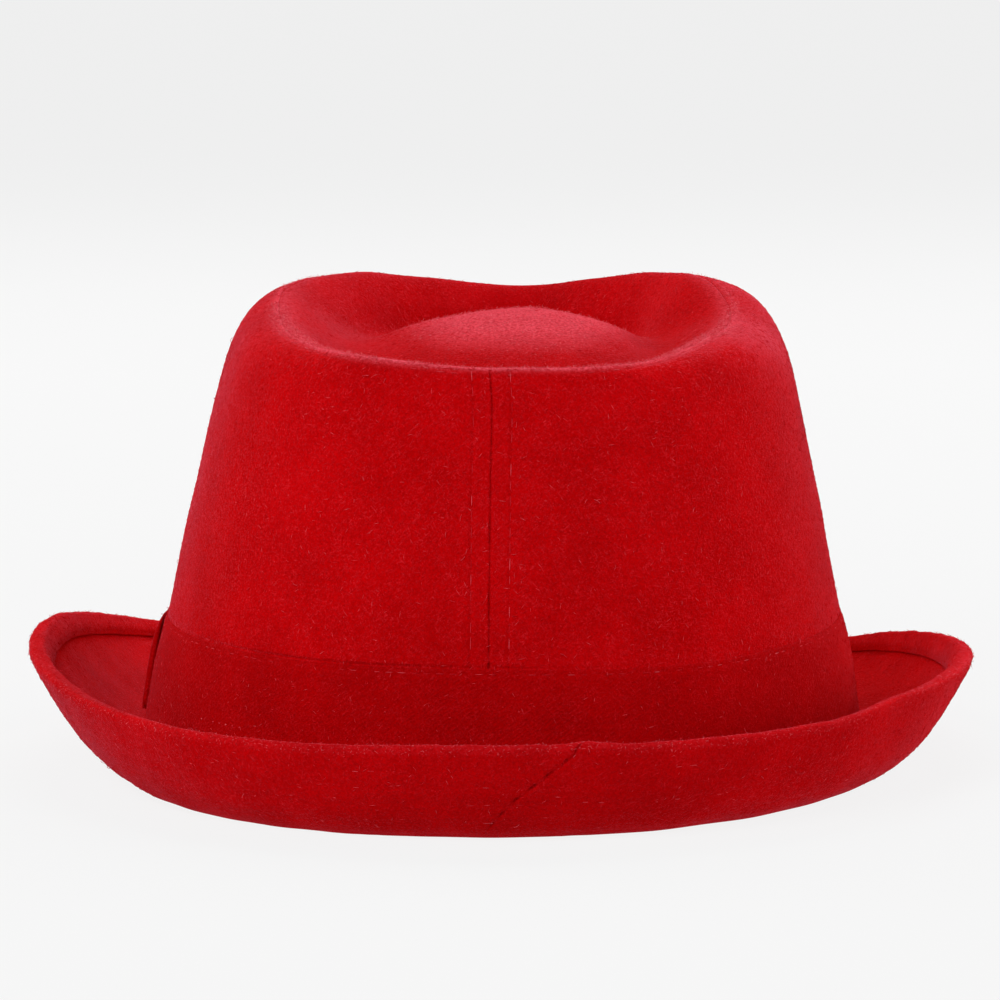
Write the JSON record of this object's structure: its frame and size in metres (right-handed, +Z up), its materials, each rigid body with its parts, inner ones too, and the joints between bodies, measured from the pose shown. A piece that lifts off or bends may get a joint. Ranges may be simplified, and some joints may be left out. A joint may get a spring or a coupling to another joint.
{
  "type": "fedora hat",
  "caption": "Red wool cloth fedora with a dented teardrop crown, a self-fabric band with a flat bow at the left and a two-layer brim turned up at the back and sides",
  "frame": {"origin": "on the surface that the hat rests on, under the middle of the brim's outline", "axes": "+Z up, +Y towards the wearer's front, +X towards the wearer's right"},
  "size_m": [0.231, 0.2862, 0.1166],
  "materials": {
    "crown_wool": "felted wool cloth with a short nap",
    "band_wool": "felted wool twill, edge-stitched",
    "brim_wool": "felted wool cloth with a short nap"
  },
  "bodies": {
    "root": {"crown_side": "crown_wool", "crown_tip": "crown_wool", "hat_band": "band_wool", "bow_loop": "band_wool", "bow_knot": "band_wool", "brim_upper": "brim_wool", "brim_under": "brim_wool"}
  },
  "joints": []
}
